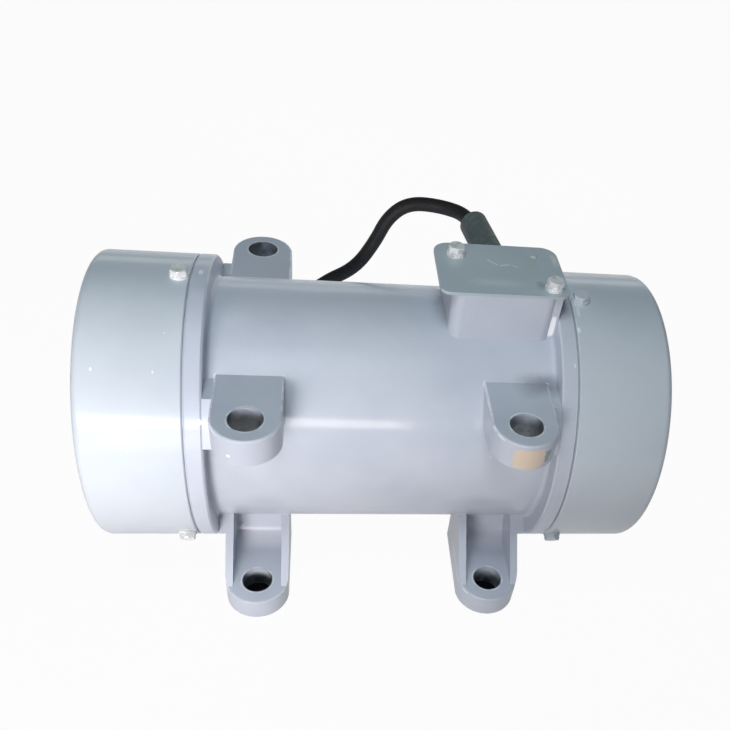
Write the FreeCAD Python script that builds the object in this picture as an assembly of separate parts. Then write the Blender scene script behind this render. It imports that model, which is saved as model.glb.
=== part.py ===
import FreeCAD, Part
import math
import os

# Rotary vibration motor with cup covers over its unbalance weights.
# Millimetres. Everything is built round the shaft axis, with X along the shaft,
# -Y towards the front and +Z up, and is lifted at the end so that the feet stand on z = 0.

V = FreeCAD.Vector
ORIGIN = V(0, 0, 0)
ALONG = V(1, 0, 0)
UP = V(0, 0, 1)

# ---------------------------------------------------------------- fits
SEAT_GAP = 0.05          # between a cylindrical seat and the piece in it, radially
SLIDE_GAP = 0.3          # between faces of pieces that turn past each other
PRESS_GAP = 0.02         # between the shaft and what is pressed on it
THREAD_GAP = 0.1         # between a screw and its hole

# ---------------------------------------------------------------- housing
AXIS_HEIGHT = 110.0      # feet to shaft axis
BARREL_R = 85.5
BARREL_WALL = 8.0
BORE_R = BARREL_R - BARREL_WALL
FACE_X = 124.5           # machined flange face, from the middle
FLANGE_T = 11.0
ROOT_FILLET = 3.0        # between barrel and flange
FLANGE_EDGE = 1.2
SEAM_EDGE = 0.7          # chamfer on both sides of the seam between flange and cover

HOLE_X = 86.0            # bolt holes of feet and lugs, from the middle
HOLE_Y = 97.0
HOLE_R = 10.5
END_Y = 95.0             # centre of the rounded end of a foot or lug

LUG_TOP = 65.0           # above the shaft axis
LUG_T = 20.0
LUG_HALF_W = 21.7
LUG_EDGE = 1.5
WEB_DEPTH = 29.0         # web that joins a lug to the flange
WEB_SINK = 4.0           # how far a web runs into its lug or foot
WEB_DROP = 1.8           # the web's top edge lies below the lug's

FOOT_T = 17.5
FOOT_HALF_W = 22.6
FOOT_EDGE = 1.5
RIB_T = 5.5
RIB_TIP_Y = 103.0        # where a rib's sloping edge meets the foot
RIB_TOP_ANGLE = 41.5     # below horizontal, where that edge meets the barrel
RIB_SINK = 12.0          # how far the rib runs into the barrel wall
BACK_Y = 50.0            # front face of the wall behind a foot
BACK_T = 12.0
BACK_ARC = 20.0

# ---------------------------------------------------------------- terminal box
BOX_X0 = 41.0
BOX_X1 = 111.0
BOX_Y0 = -29.5
BOX_Y1 = 31.5
BOX_TOP = 113.0
BOX_WALL = 6.0
BOX_CORNER = 8.0
BOX_FLOOR = 88.0
BOX_ROOT = 10.0          # how far the box's form runs into the barrel's bore before the bore is cut
BOX_BOSS_R = 7.0
BOX_WEB_W = 14.0
LEAD_HOLE_SET = 3.0      # middle of the lead hole, beyond the end of the core
LEAD_HOLE_R = 6.0

GASKET_T = 0.5
LID_T = 2.0
LID_X0 = 32.5
LID_X1 = 118.0
LID_FRONT_CORNER = 7.0
LID_REAR_CORNER = 11.0
LID_BOLT_DX = 30.5       # half the distance between the bolts
LID_BOLT_DY = 18.5
LID_BOLT_OFF_X = 1.4     # middle of the pair, from the box's middle
LID_BOLT_OFF_Y = -2.8
RIVET_X = 101.3
RIVET_Y = 18.7
RIVET_R = 3.2
RIVET_H = 1.2

# ---------------------------------------------------------------- hex fasteners
M6_R = 3.0
M6_FLATS = 10.0
M6_HEAD = 4.0
M6_WASHER_R = 6.2
M6_WASHER_T = 1.4
M6_SPRING_R = 5.4
M6_SPRING_T = 1.5
M6_LENGTH = 14.0

# ---------------------------------------------------------------- weight covers
COVER_R = 100.0
FLANGE_R = COVER_R       # the housing's flanges are flush with the covers
COVER_T = 2.0
COVER_END_X = 190.0      # outer end of the cover, half the overall length
COVER_CORNER = 5.0
SEAM_GAP = 1.0
COVER_FIT = 0.1
COVER_SCREW_X = 132.0
COVER_SCREWS = 3
LEFT_SCREW_ANGLE = 90.0  # 0 degrees points to the front, 90 up
RIGHT_SCREW_ANGLE = 85.5

# ---------------------------------------------------------------- end shields
SPIGOT_L = 12.0
SPIGOT_WALL = 7.0
SHIELD_WEB_X = 116.5     # inner face of the web
SHIELD_DISH_X = 133.0    # outer face of the web
SHIELD_DISH_EDGE = 13.0  # from the bolt circle to the dish
HUB_R = 61.0
HUB_INNER_R = 56.0
HUB_LIP = 4.0
HUB_LIP_R = 38.0
SHIELD_BOLT_EDGE = 6.0   # from the inside of the cover to the bolt circle
SHIELD_BOLT_R = COVER_R - COVER_T - SHIELD_BOLT_EDGE
SHIELD_BOLTS = 6
SHIELD_THREAD = 9.0      # length in the housing flange
RING_SECTION_R = 1.2     # seal ring
RING_SET = 2.0           # from the side of the cover's screws to the middle of the ring
RING_LAND = 2.3          # from there to the outer face of the shield's rim
RING_X = COVER_SCREW_X + M6_R + RING_SET
RIM_X = RING_X + RING_LAND

# ---------------------------------------------------------------- bearing
BEARING_X = 108.0        # inner face
BEARING_W = 23.0
BEARING_R = 45.0
BEARING_BORE_R = 20.0
TRACK_IN_R = 26.0
TRACK_OUT_R = 40.0
TRACK_W = 14.0
OUTER_LIP_R = 37.0
INNER_LIP_R = 29.0
ROLLERS = 12
ROLLER_GAP = 0.05
CAGE_IN_R = 30.2
CAGE_OUT_R = 35.8
CAGE_W = 19.0
POCKET_GAP = 0.3

CAP_T = 4.0
CAP_SPIGOT_WALL = 6.0
CAP_SCREW_R = 53.0
CAP_SCREWS = 4
CAP_HEAD_R = 5.5
CAP_HEAD_H = 2.8
CAP_SCREW_L = 14.0

# ---------------------------------------------------------------- rotor
SHAFT_CORE_R = 23.0
SHAFT_BODY_R = 22.0
SHAFT_WEIGHT_R = 19.0
SHAFT_THREAD_R = 15.0
SHAFT_END_X = 186.5
SHAFT_CHAMFER = 1.5
CORE_HALF_L = 55.0
STATOR_T = 32.5          # from the bore of the stator to the barrel
STATOR_IN_R = BORE_R - STATOR_T
AIR_GAP = 0.4
ROTOR_R = STATOR_IN_R - AIR_GAP
STATOR_SLOTS = 24
YOKE_T = 12.5            # between the slots and the barrel
TOOTH_TIP = 3.0          # depth of a slot's mouth
SLOT_TOP_R = STATOR_IN_R + TOOTH_TIP
SLOT_W = 6.0
SLOT_MOUTH = 2.4
SLOT_LINER = 0.3
END_TURN_L = 29.0        # of the end turns beyond the core
END_TURN_SET = 1.0       # between the end turns' inside and the top of the slots
END_TURN_GAP = 8.5       # between the end turns and the barrel
END_TURN_ROUND = 5.0
END_TURN_STEP = 1.5      # between the core's face and the end turns
ROTOR_BARS = 20
BAR_R = 2.8
BAR_SINK = 4.6           # from the rotor's outside to the circle of the bars
END_RING_L = 10.0
END_RING_SINK = 1.1      # from the rotor's outside to the end ring's
END_RING_T = 10.5

# ---------------------------------------------------------------- unbalance weights
SPACER_R = 26.0
SPACER_GAP = 0.6         # spacer in the bearing cap's bore
FIXED_X0 = 144.5
FIXED_T = 15.5
MOVING_T = 15.5
WEIGHT_GAP = 10.0        # between the weights and the inside of the cover
WEIGHT_R = COVER_R - COVER_T - WEIGHT_GAP
WEIGHT_HALF_ANGLE = 76.0
WEIGHT_HUB_R = 33.0
WEIGHT_ROUND = 4.0
KEY_W = 10.0
KEY_H = 8.0
KEY_DEPTH = 5.0          # in the shaft
SLIT_W = 3.0
PINCH_Z = 38.0
PINCH_LUG_W = 14.0       # each side of the slit
PINCH_LUG_TOP = 47.0
PINCH_BOLT_R = 4.0
PINCH_FLATS = 13.0
PINCH_HEAD = 5.3
PINCH_NUT = 6.5
TAB_T = 1.6
TAB_R = 24.0
NUT_H = 7.5
NUT_FLATS = 46.0

# ---------------------------------------------------------------- terminal board
BOARD_SET = 9.0          # from the middle of the lead hole to the board
BOARD_L = 24.0
BOARD_W = 44.0
BOARD_T = 6.0
BOARD_CORNER = 2.0
BOARD_FOOT_R = 4.0
BOARD_LIFT = 3.0
BOARD_SCREW_DY = 18.0    # from the board's middle
BARRIER_T = 1.5          # low walls between the pairs of studs
BARRIER_H = 4.0
STUD_R = 2.0
STUD_TOP = 9.0
STUD_NUT_FLATS = 7.0
STUD_NUT_H = 3.0
STUD_PITCH = 12.0
SCREW_BITE = 4.0         # how deep the small screws go into the box floor
LEAD_R = 1.4
LEAD_PITCH = 3.0
LEAD_START_IN = 8.0      # from the outer end of the end turns

# ---------------------------------------------------------------- gland and cable
GLAND_X = 77.5           # on the rear wall
GLAND_Z = 102.0
GLAND_YAW = 8.0          # turned towards -X
GLAND_L = 54.0
GLAND_R = 10.25
GLAND_BORE_R = 8.0
GLAND_SPIGOT_R = 7.0
BUSH_L = 20.0
BUSH_LIP_R = 9.4
BUSH_LIP_T = 1.5
CABLE_R = 5.25
CABLE_GAP = 0.25
CABLE_INSET = 14.0       # the cable starts this far inside the mouth
CABLE_LEAD_OUT = 12.0
COIL_MEAN_R = 52.5
COIL_CENTRE_X = 39.5
COIL_CENTRE_Y = 170.5
COIL_TURNS = 1.75        # anticlockwise from above, from the point nearest the motor
COIL_STUB = 36.0
TAIL_L = 70.0
CORE_R = 1.4
CORE_OFFSET = 1.75       # of each core from the cable's middle, both ways
CORE_SHOW = 0.5          # how far a slanting core's end stands off the cut jacket
CORE_L = 38.0
COPPER_R = 0.9
COPPER_L = 9.0
FLOOR = -AXIS_HEIGHT

# The free stretch of the cable behind the motor, from the gland down to the coil.
CABLE_WAY = [
    V(48.5, 114.5, 99.8),
    V(23.5, 114.5, 100.8),
    V(8.0, 112.5, 88.5),
    V(-0.9, 110.5, 68.0),
    V(-15.5, 108.5, 45.5),
    V(-40.0, 108.0, 32.0),
    V(-65.5, 109.0, 6.5),
    V(-74.5, 111.0, -21.1),
    V(-70.0, 114.0, -49.7),
    V(-52.9, 117.0, -73.2),
    V(-27.1, 118.0, -86.4),
]


# ================================================================ helpers
def axial(x0, x1, radius):
    """Cylinder about the shaft axis."""
    return Part.makeCylinder(radius, x1 - x0, V(x0, 0, 0), ALONG)


def ring(x0, x1, inner, outer):
    return axial(x0, x1, outer).cut(axial(x0, x1, inner))


def upright(x, y, z0, z1, radius):
    return Part.makeCylinder(radius, z1 - z0, V(x, y, z0), UP)


def block(x0, x1, y0, y1, z0, z1):
    return Part.makeBox(x1 - x0, y1 - y0, z1 - z0, V(x0, y0, z0))


def turned(points):
    """Solid of revolution about the shaft axis from (x, radius) corners."""
    corners = [V(x, 0, r) for x, r in points]
    wire = Part.makePolygon(corners + corners[:1])
    return Part.Face(wire).revolve(ORIGIN, ALONG, 360)


def side_plate(points, x0, thickness):
    """Plate across the shaft from (y, z) corners."""
    corners = [V(x0, y, z) for y, z in points]
    return Part.Face(Part.makePolygon(corners + corners[:1])).extrude(V(thickness, 0, 0))


def rounded_rect(x0, x1, y0, y1, z0, z1, front_r, rear_r):
    """Upright block with its four vertical edges rounded."""
    body = block(x0, x1, y0, y1, z0, z1)
    middle = (y0 + y1) / 2
    upright_edges = [e for e in body.Edges if abs(e.BoundBox.ZLength - (z1 - z0)) < 1e-6]
    front = [e for e in upright_edges if e.CenterOfMass.y < middle]
    rear = [e for e in upright_edges if e.CenterOfMass.y > middle]
    if front_r == rear_r:
        return body.makeFillet(front_r, front + rear)
    body = body.makeFillet(front_r, front)
    rear = [e for e in body.Edges
            if abs(e.BoundBox.ZLength - (z1 - z0)) < 1e-6 and e.CenterOfMass.y > y1 - 1e-6]
    return body.makeFillet(rear_r, rear)


def hexagon(flats, height, base, direction):
    """Hexagonal prism from its base centre along a direction."""
    corner = flats / math.sqrt(3)
    points = []
    for i in range(7):
        a = math.radians(60 * i + 30)
        points.append(V(corner * math.cos(a), corner * math.sin(a), 0))
    prism = Part.Face(Part.makePolygon(points)).extrude(V(0, 0, height))
    # the corners of a real head are turned off at its outer end
    turning = Part.makeCone(corner + 0.35 * height, 0.86 * corner, height, ORIGIN, UP)
    prism = prism.common(turning)
    prism.Placement = FreeCAD.Placement(base, FreeCAD.Rotation(UP, direction))
    return prism


def rod(base, direction, length, radius):
    return Part.makeCylinder(radius, length, base, direction)


def washer(base, direction, thickness, outer, inner):
    return rod(base, direction, thickness, outer).cut(rod(base, direction, thickness, inner))


def fused(shapes):
    return shapes[0].multiFuse(shapes[1:]).removeSplitter()


def other_end(shape):
    return shape.mirror(ORIGIN, ALONG)


def spoke(angle):
    """Unit vector across the shaft: 0 degrees points to the front, 90 up."""
    a = math.radians(angle)
    return V(0, -math.cos(a), math.sin(a))


def spokes(count, first=0.0):
    return [spoke(first + 360.0 * i / count) for i in range(count)]


def four_corners():
    return [(sx, sy) for sx in (-1, 1) for sy in (-1, 1)]


# ================================================================ housing
def tongue(half_width, root_y, z0, z1):
    """Flat tongue at the front right corner, rounded at its end, without its hole."""
    round_end = upright(HOLE_X, -END_Y, z0, z1, half_width)
    straight = block(HOLE_X - half_width, HOLE_X + half_width, -END_Y, -root_y, z0, z1)
    return fused([straight, round_end])


def soften_top(body, radius):
    """Round the upper outline edges of a tongue."""
    top = body.BoundBox.ZMax
    edges = [e for e in body.Edges
             if abs(e.BoundBox.ZMin - top) < 1e-6 and e.BoundBox.YMin < -END_Y + 1]
    return body.makeFillet(radius, edges)


def lug():
    body = soften_top(tongue(LUG_HALF_W, BARREL_R / 2, LUG_TOP - LUG_T, LUG_TOP), LUG_EDGE)
    web = block(HOLE_X + LUG_HALF_W - WEB_SINK, FACE_X - FLANGE_T, -FLANGE_R, -BARREL_R / 2,
                LUG_TOP - WEB_DEPTH, LUG_TOP - WEB_DROP)
    web = web.common(axial(0, FACE_X, FLANGE_R))
    return body.fuse(web)


def foot():
    sole = tongue(FOOT_HALF_W, BACK_Y - BACK_T, FLOOR, FLOOR + FOOT_T)
    sole = soften_top(sole, FOOT_EDGE)
    top = FLOOR + FOOT_T
    angle = math.radians(RIB_TOP_ANGLE)
    reach = BARREL_R - RIB_SINK
    rib_top = (-reach * math.cos(angle), -reach * math.sin(angle))
    back = -BACK_Y + BACK_T
    rib_points = [(-RIB_TIP_Y, top), rib_top, (back, rib_top[1]), (back, FLOOR), (-RIB_TIP_Y, FLOOR)]
    pieces = [sole]
    outline = tongue(FOOT_HALF_W, BACK_Y - BACK_T, FLOOR, rib_top[1])
    for side in (-1, 1):
        x0 = HOLE_X + side * (FOOT_HALF_W - RIB_T / 2) - RIB_T / 2
        pieces.append(side_plate(rib_points, x0, RIB_T).common(outline))
    # web from the outer rib to the flange
    web_x = HOLE_X + FOOT_HALF_W - WEB_SINK
    web = side_plate(rib_points, web_x, FACE_X - FLANGE_T - web_x)
    pieces.append(web.common(axial(0, FACE_X, FLANGE_R)))
    # wall behind the foot, running into the foot's top in a hollow curve
    wall = side_plate([(-BACK_Y - BACK_ARC, top), (-BACK_Y - BACK_ARC, top - 1), (back, top - 1),
                       (back, rib_top[1]), (-BACK_Y, rib_top[1]), (-BACK_Y, top)],
                      HOLE_X - FOOT_HALF_W, 2 * FOOT_HALF_W)
    corner = side_plate([(-BACK_Y - BACK_ARC, top), (-BACK_Y, top), (-BACK_Y, top + BACK_ARC),
                         (-BACK_Y - BACK_ARC, top + BACK_ARC)],
                        HOLE_X - FOOT_HALF_W, 2 * FOOT_HALF_W)
    hollow = rod(V(HOLE_X - FOOT_HALF_W, -BACK_Y - BACK_ARC, top + BACK_ARC), ALONG,
                 2 * FOOT_HALF_W, BACK_ARC)
    pieces += [wall, corner.cut(hollow)]
    return fused(pieces)


def to_corner(shape, sx, sy):
    """Mirror a front right feature to one of the four corners."""
    if sx < 0:
        shape = shape.mirror(ORIGIN, ALONG)
    if sy > 0:
        shape = shape.mirror(ORIGIN, V(0, 1, 0))
    return shape


def box_middle():
    return (BOX_X0 + BOX_X1) / 2, (BOX_Y0 + BOX_Y1) / 2


def lid_bolt_places():
    x = box_middle()[0] + LID_BOLT_OFF_X
    y = box_middle()[1] + LID_BOLT_OFF_Y
    return [(x - LID_BOLT_DX, y + LID_BOLT_DY), (x + LID_BOLT_DX, y - LID_BOLT_DY)]


def lead_hole_x():
    return CORE_HALF_L + LEAD_HOLE_SET


def box_cavity(z0, z1):
    inner_corner = BOX_CORNER - BOX_WALL / 2
    cavity = rounded_rect(BOX_X0 + BOX_WALL, BOX_X1 - BOX_WALL, BOX_Y0 + BOX_WALL,
                          BOX_Y1 - BOX_WALL, z0, z1, inner_corner, inner_corner)
    for x, y in lid_bolt_places():
        cavity = cavity.cut(upright(x, y, z0, z1, BOX_BOSS_R))
    return cavity


def box_outline(z0, z1):
    """The box's outer form, with the web that ties its bolt boss to the flange."""
    outline = rounded_rect(BOX_X0, BOX_X1, BOX_Y0, BOX_Y1, z0, z1, BOX_CORNER, BOX_CORNER)
    boss_y = lid_bolt_places()[1][1]
    web = block(BOX_X1 - BOX_WALL, FACE_X - FLANGE_T, boss_y - BOX_WEB_W / 2,
                boss_y + BOX_WEB_W / 2, z0, z1)
    return outline.fuse(web).removeSplitter()


def gland_axis():
    a = math.radians(GLAND_YAW)
    return V(-math.sin(a), math.cos(a), 0)


def gland_base():
    return V(GLAND_X, BOX_Y1, GLAND_Z)


def flange():
    inner = FACE_X - FLANGE_T
    top = FLANGE_R - FLANGE_EDGE
    body = turned([(inner - ROOT_FILLET, BORE_R), (inner - ROOT_FILLET, BARREL_R),
                   (inner, BARREL_R + ROOT_FILLET), (inner, top), (inner + FLANGE_EDGE, FLANGE_R),
                   (FACE_X - SEAM_EDGE, FLANGE_R), (FACE_X, FLANGE_R - SEAM_EDGE),
                   (FACE_X, BORE_R)])
    # the slope at the root becomes a hollow curve
    centre = V(inner - ROOT_FILLET, 0, BARREL_R + ROOT_FILLET)
    groove = Part.Face(Part.Wire(Part.makeCircle(ROOT_FILLET, centre, V(0, 1, 0))))
    return body.cut(groove.revolve(ORIGIN, ALONG, 360))


def motor_housing():
    outside = [axial(-FACE_X + 1, FACE_X - 1, BARREL_R), flange(), other_end(flange())]
    for sx, sy in four_corners():
        outside += [to_corner(lug(), sx, sy), to_corner(foot(), sx, sy)]
    outside.append(box_outline(BORE_R - BOX_ROOT, BOX_TOP))
    casting = outside[0].multiFuse(outside[1:])

    cuts = [axial(-FACE_X, FACE_X, BORE_R), box_cavity(BOX_FLOOR, BOX_TOP)]
    for sx, sy in four_corners():
        cuts.append(upright(sx * HOLE_X, sy * HOLE_Y, LUG_TOP - LUG_T, LUG_TOP, HOLE_R))
        cuts.append(upright(sx * HOLE_X, sy * HOLE_Y, FLOOR, FLOOR + FOOT_T, HOLE_R))
    for x, y in lid_bolt_places():
        cuts.append(upright(x, y, BOX_TOP - M6_LENGTH, BOX_TOP, M6_R + THREAD_GAP))
    cuts.append(upright(lead_hole_x(), box_middle()[1], BORE_R - 5, BOX_FLOOR, LEAD_HOLE_R))
    cuts.append(rod(gland_base() - gland_axis() * 2 * BOX_WALL, gland_axis(), 3 * BOX_WALL,
                    GLAND_SPIGOT_R + THREAD_GAP))
    for side in (-1, 1):
        for arm in spokes(SHIELD_BOLTS):
            start = V(side * (FACE_X - SHIELD_THREAD), 0, 0) + arm * SHIELD_BOLT_R
            cuts.append(rod(start, ALONG * side, SHIELD_THREAD, M6_R + THREAD_GAP))
    for x, y in board_screw_places() + [earth_place()]:
        cuts.append(upright(x, y, BOX_FLOOR - SCREW_BITE - 1, BOX_FLOOR, STUD_R + THREAD_GAP))
    return casting.cut(cuts).removeSplitter()


# ================================================================ terminal box
def board_x():
    return lead_hole_x() + BOARD_SET


def board_middle():
    return board_x() + BOARD_L / 2, box_middle()[1]


def board_screw_places():
    x, y = board_middle()
    return [(x, y - BOARD_SCREW_DY), (x, y + BOARD_SCREW_DY)]


def earth_place():
    return BOX_X1 - BOX_WALL - 2 * BOARD_FOOT_R, BOX_Y1 - BOX_WALL - 2 * BOARD_FOOT_R


def stud_places():
    """Three pairs of studs; the first three are the row nearest the lead hole."""
    x, y = board_middle()
    return [(x + side * STUD_PITCH / 2, y + row * STUD_PITCH)
            for side in (-1, 1) for row in (-1, 0, 1)]


def board_top():
    return BOX_FLOOR + BOARD_LIFT + BOARD_T


def lid_gasket():
    top = box_outline(BOX_TOP, BOX_TOP + GASKET_T)
    gasket = top.cut(box_cavity(BOX_TOP, BOX_TOP + GASKET_T))
    for x, y in lid_bolt_places():
        gasket = gasket.cut(upright(x, y, BOX_TOP, BOX_TOP + GASKET_T, M6_R + THREAD_GAP))
    return gasket


def lid_bottom():
    return BOX_TOP + GASKET_T


def lid_top():
    return lid_bottom() + LID_T


def terminal_box_lid():
    lid = rounded_rect(LID_X0, LID_X1, BOX_Y0, BOX_Y1, lid_bottom(), lid_top(),
                       LID_FRONT_CORNER, LID_REAR_CORNER)
    holes = [upright(x, y, lid_bottom(), lid_top(), M6_R + THREAD_GAP) for x, y in lid_bolt_places()]
    holes.append(upright(RIVET_X, RIVET_Y, lid_bottom(), lid_top(), RIVET_R / 2 + SEAT_GAP))
    return lid.cut(holes)


def lid_rivet():
    head = Part.makeSphere(RIVET_R, V(RIVET_X, RIVET_Y, lid_top() - RIVET_R + RIVET_H))
    head = head.common(upright(RIVET_X, RIVET_Y, lid_top(), lid_top() + RIVET_R, RIVET_R))
    return head.fuse(upright(RIVET_X, RIVET_Y, lid_bottom(), lid_top(), RIVET_R / 2)).removeSplitter()


def hex_bolt(seat, direction, radius, flats, head, reach):
    """Bolt whose head sits on a seat and points along a direction, with its shank the other way."""
    shank = rod(seat - direction * reach, direction, reach, radius)
    return fused([shank, hexagon(flats, head, seat, direction)])


def lid_stack():
    """Heights of the washers and the bolt heads on the lid."""
    flat = lid_top()
    spring = flat + M6_WASHER_T
    head = spring + M6_SPRING_T
    return flat, spring, head


def lid_bolts():
    head = lid_stack()[2]
    reach = head - BOX_TOP + M6_LENGTH - 2
    return Part.makeCompound([hex_bolt(V(x, y, head), UP, M6_R, M6_FLATS, M6_HEAD, reach)
                              for x, y in lid_bolt_places()])


def lid_washers():
    return Part.makeCompound([washer(V(x, y, lid_stack()[0]), UP, M6_WASHER_T, M6_WASHER_R,
                                     M6_R + THREAD_GAP) for x, y in lid_bolt_places()])


def lid_spring_washers():
    rings = []
    for x, y in lid_bolt_places():
        base = V(x, y, lid_stack()[1])
        split = block(x, x + M6_SPRING_R + 1, y - 0.5, y + 0.5, base.z, base.z + M6_SPRING_T)
        rings.append(washer(base, UP, M6_SPRING_T, M6_SPRING_R, M6_R + THREAD_GAP).cut(split))
    return Part.makeCompound(rings)


def terminal_board():
    x, y = board_middle()
    y0 = y - BOARD_W / 2
    y1 = y + BOARD_W / 2
    z0 = board_top() - BOARD_T
    x0 = board_x()
    board = rounded_rect(x0, x0 + BOARD_L, y0, y1, z0, board_top(), BOARD_CORNER, BOARD_CORNER)
    feet = [upright(fx, fy, BOX_FLOOR, z0, BOARD_FOOT_R) for fx, fy in board_screw_places()]
    barriers = []
    for side in (-1, 1):
        middle = y + side * STUD_PITCH / 2
        barriers.append(block(x0, x0 + BOARD_L, middle - BARRIER_T / 2, middle + BARRIER_T / 2,
                              board_top(), board_top() + BARRIER_H))
    board = fused([board] + feet + barriers)
    holes = [upright(sx, sy, z0, board_top(), STUD_R + THREAD_GAP) for sx, sy in stud_places()]
    holes += [upright(sx, sy, BOX_FLOOR, board_top(), STUD_R + THREAD_GAP)
              for sx, sy in board_screw_places()]
    return board.cut(holes)


def terminal_studs():
    bottom = board_top() - BOARD_T
    return Part.makeCompound([fused([upright(x, y, bottom, board_top() + STUD_TOP, STUD_R),
                                     hexagon(STUD_NUT_FLATS, STUD_NUT_H, V(x, y, board_top()), UP)])
                              for x, y in stud_places()])


def terminal_screws():
    """Two screws that hold the board, and the earth screw."""
    screws = [hex_bolt(V(x, y, board_top()), UP, STUD_R, STUD_NUT_FLATS, STUD_NUT_H,
                       board_top() - BOX_FLOOR + SCREW_BITE) for x, y in board_screw_places()]
    screws.append(hex_bolt(V(*earth_place(), BOX_FLOOR), UP, STUD_R, STUD_NUT_FLATS, STUD_NUT_H,
                           SCREW_BITE))
    return Part.makeCompound(screws)


# ================================================================ end shields and covers
def bearing_end():
    return BEARING_X + BEARING_W


def hub_face():
    return bearing_end() + 3.0


def end_shield(first_screw):
    spigot = BORE_R - SEAT_GAP
    rim = COVER_R - COVER_T - COVER_FIT
    dish = SHIELD_BOLT_R - SHIELD_DISH_EDGE
    body = turned([(BEARING_X - HUB_LIP, HUB_LIP_R), (BEARING_X - HUB_LIP, HUB_INNER_R),
                   (SHIELD_WEB_X, HUB_INNER_R), (SHIELD_WEB_X, spigot - SPIGOT_WALL),
                   (FACE_X - SPIGOT_L, spigot - SPIGOT_WALL), (FACE_X - SPIGOT_L, spigot),
                   (FACE_X, spigot), (FACE_X, rim), (RIM_X, rim), (RIM_X, dish),
                   (SHIELD_DISH_X, dish), (SHIELD_DISH_X, HUB_R), (hub_face(), HUB_R),
                   (hub_face(), BEARING_R + SEAT_GAP), (BEARING_X, BEARING_R + SEAT_GAP),
                   (BEARING_X, HUB_LIP_R)])
    groove_r = rim - 2 * RING_SECTION_R - 2 * SEAT_GAP
    half = RING_SECTION_R + SEAT_GAP
    cuts = [ring(RING_X - half, RING_X + half, groove_r, rim + 1)]
    for arm in spokes(COVER_SCREWS, first_screw):
        start = V(COVER_SCREW_X, 0, 0) + arm * (COVER_R - M6_LENGTH)
        cuts.append(rod(start, arm, M6_LENGTH, M6_R + THREAD_GAP))
    for arm in spokes(SHIELD_BOLTS):
        cuts.append(rod(V(FACE_X, 0, 0) + arm * SHIELD_BOLT_R, ALONG, RIM_X - FACE_X,
                        M6_R + THREAD_GAP))
    for arm in spokes(CAP_SCREWS, 45.0):
        cuts.append(rod(V(hub_face() - CAP_SCREW_L, 0, 0) + arm * CAP_SCREW_R, ALONG, CAP_SCREW_L,
                        M6_R + THREAD_GAP))
    return body.cut(cuts)


def cover_seal():
    centre = V(RING_X, 0, COVER_R - COVER_T - COVER_FIT - RING_SECTION_R - SEAT_GAP)
    section = Part.Face(Part.Wire(Part.makeCircle(RING_SECTION_R, centre, V(0, 1, 0))))
    return section.revolve(ORIGIN, ALONG, 360)


def weight_cover(first_screw):
    start = FACE_X + SEAM_GAP
    cup = axial(start, COVER_END_X, COVER_R)
    end_edge = [e for e in cup.Edges if e.BoundBox.XMin > COVER_END_X - 1e-6]
    cup = cup.makeFillet(COVER_CORNER, end_edge)
    open_edge = [e for e in cup.Edges if e.BoundBox.XMax < start + 1e-6]
    cup = cup.makeChamfer(SEAM_EDGE, open_edge)
    inside = axial(start, COVER_END_X - COVER_T, COVER_R - COVER_T)
    inner_edge = [e for e in inside.Edges if e.BoundBox.XMin > COVER_END_X - COVER_T - 1e-6]
    inside = inside.makeFillet(COVER_CORNER - COVER_T, inner_edge)
    holes = [rod(V(COVER_SCREW_X, 0, 0) + arm * (COVER_R - M6_LENGTH), arm, 2 * M6_LENGTH,
                 M6_R + THREAD_GAP) for arm in spokes(COVER_SCREWS, first_screw)]
    return cup.cut([inside] + holes)


def cover_screws(first_screw):
    seat = COVER_R + M6_WASHER_T
    reach = seat - COVER_R + M6_LENGTH - 2
    return Part.makeCompound([hex_bolt(V(COVER_SCREW_X, 0, 0) + arm * seat, arm, M6_R, M6_FLATS,
                                       M6_HEAD, reach) for arm in spokes(COVER_SCREWS, first_screw)])


def cover_washers(first_screw):
    """Flat washers, dished on their underside by the curve of the cover."""
    rings = []
    for arm in spokes(COVER_SCREWS, first_screw):
        base = V(COVER_SCREW_X, 0, 0) + arm * (COVER_R - M6_WASHER_T)
        disc = washer(base, arm, 2 * M6_WASHER_T, M6_WASHER_R, M6_R + THREAD_GAP)
        rings.append(disc.cut(axial(FACE_X, COVER_END_X, COVER_R)))
    return Part.makeCompound(rings)


def shield_bolts():
    reach = RIM_X - FACE_X + SHIELD_THREAD - 1
    return Part.makeCompound([hex_bolt(V(RIM_X, 0, 0) + arm * SHIELD_BOLT_R, ALONG, M6_R, M6_FLATS,
                                       M6_HEAD, reach) for arm in spokes(SHIELD_BOLTS)])


def bearing_cap():
    spigot = BEARING_R - SEAT_GAP
    bore = SPACER_R + SPACER_GAP
    cap = turned([(bearing_end(), spigot - CAP_SPIGOT_WALL), (bearing_end(), spigot),
                  (hub_face(), spigot), (hub_face(), HUB_R), (hub_face() + CAP_T, HUB_R),
                  (hub_face() + CAP_T, bore), (hub_face(), bore),
                  (hub_face(), spigot - CAP_SPIGOT_WALL)])
    cuts = []
    for arm in spokes(CAP_SCREWS, 45.0):
        face = V(hub_face() + CAP_T, 0, 0) + arm * CAP_SCREW_R
        cuts.append(rod(V(hub_face(), 0, 0) + arm * CAP_SCREW_R, ALONG, CAP_T, M6_R + THREAD_GAP))
        cuts.append(Part.makeCone(CAP_HEAD_R + THREAD_GAP, M6_R + THREAD_GAP, CAP_HEAD_H, face,
                                  ALONG * -1))
    return cap.cut(cuts)


def cap_screws():
    screws = []
    for arm in spokes(CAP_SCREWS, 45.0):
        face = V(hub_face() + CAP_T, 0, 0) + arm * CAP_SCREW_R
        head = Part.makeCone(CAP_HEAD_R, M6_R, CAP_HEAD_H, face, ALONG * -1)
        shank = rod(face, ALONG * -1, CAP_SCREW_L + CAP_T - 2, M6_R)
        screws.append(fused([head, shank]))
    return Part.makeCompound(screws)


# ================================================================ bearings
def track_span():
    middle = BEARING_X + BEARING_W / 2
    return middle - TRACK_W / 2, middle + TRACK_W / 2


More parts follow.
